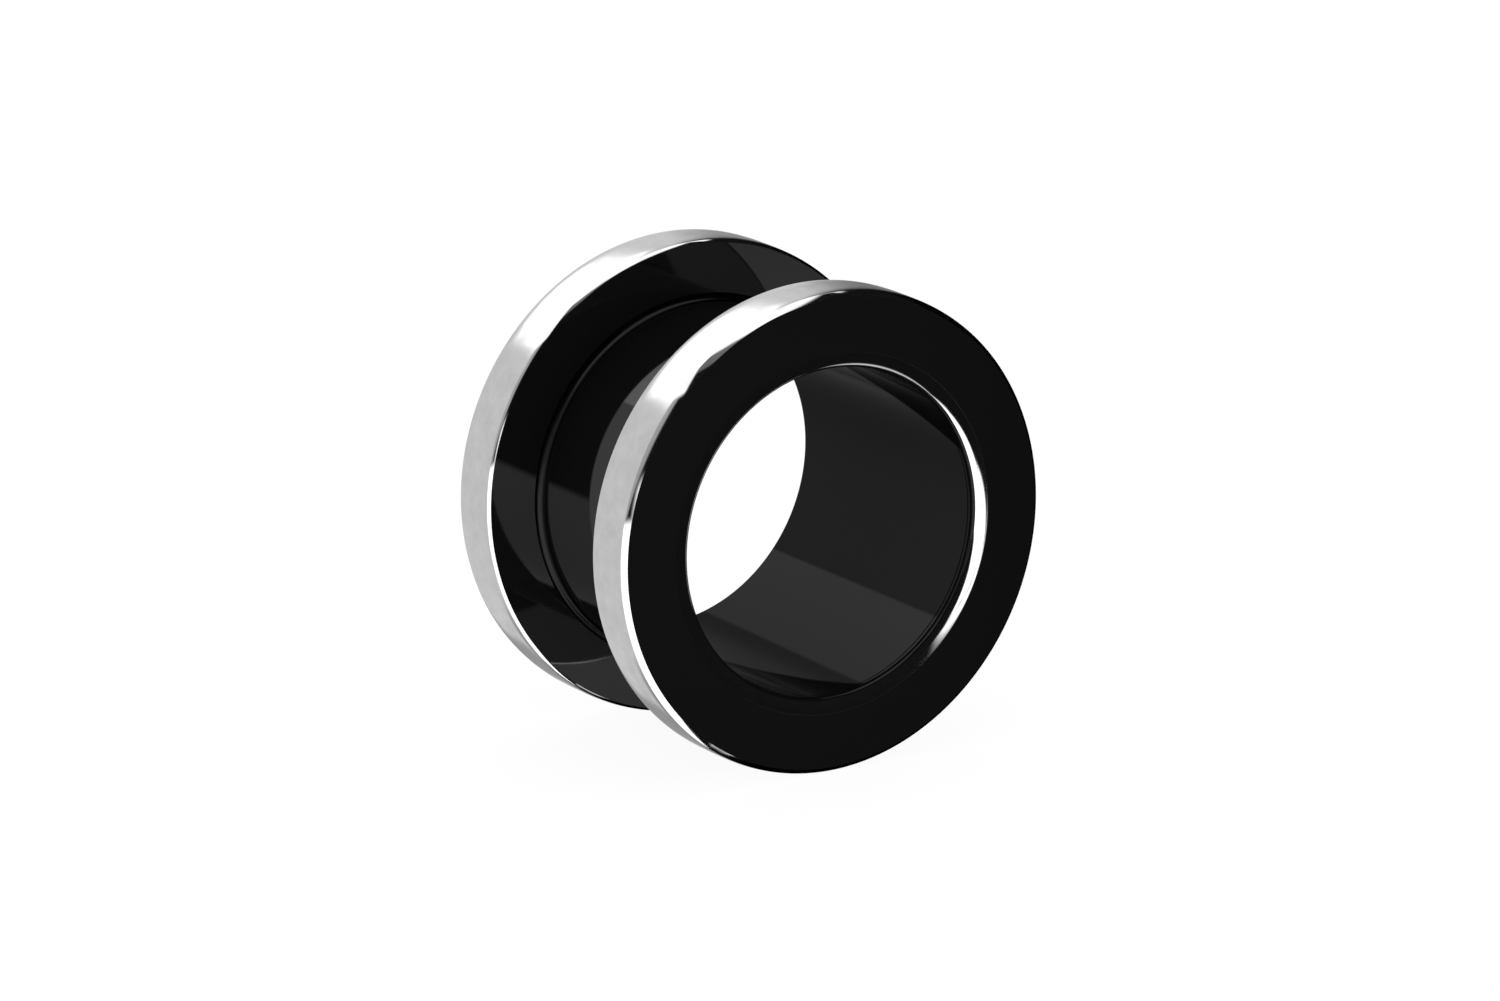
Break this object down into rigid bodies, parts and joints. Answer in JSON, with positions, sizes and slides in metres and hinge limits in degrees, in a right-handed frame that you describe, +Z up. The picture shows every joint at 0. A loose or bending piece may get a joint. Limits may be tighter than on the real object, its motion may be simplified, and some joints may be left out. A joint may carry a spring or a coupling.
{
  "type": "ear tunnel",
  "caption": "Screw-fit ear tunnel: a short open steel tube with a wide flat flange at each end, the front one a ring that unscrews from the barrel.",
  "frame": {"origin": "under the middle of the tunnel, at the level of the surface that the rims of both flanges lie on", "axes": "+Y along the bore from the front (screw-on) flange to the back flange, +Z up across it, +X to the right seen from the front"},
  "size_m": [0.0188, 0.012, 0.0188],
  "materials": {
    "black_coated_steel": "hard glossy black coating on polished surgical steel, with the rims and the mouth's edge left bare",
    "bare_steel": "bare polished steel, finely turned on the rims"
  },
  "bodies": {
    "barrel": {"flanged_barrel": "black_coated_steel"},
    "front_flange": {"screw_flange": "black_coated_steel"}
  },
  "joints": [
    {"name": "screw_off", "type": "slide", "parent": "barrel", "child": "front_flange", "axis": [0, -1, 0], "range_m": [0, 0.0018]}
  ]
}
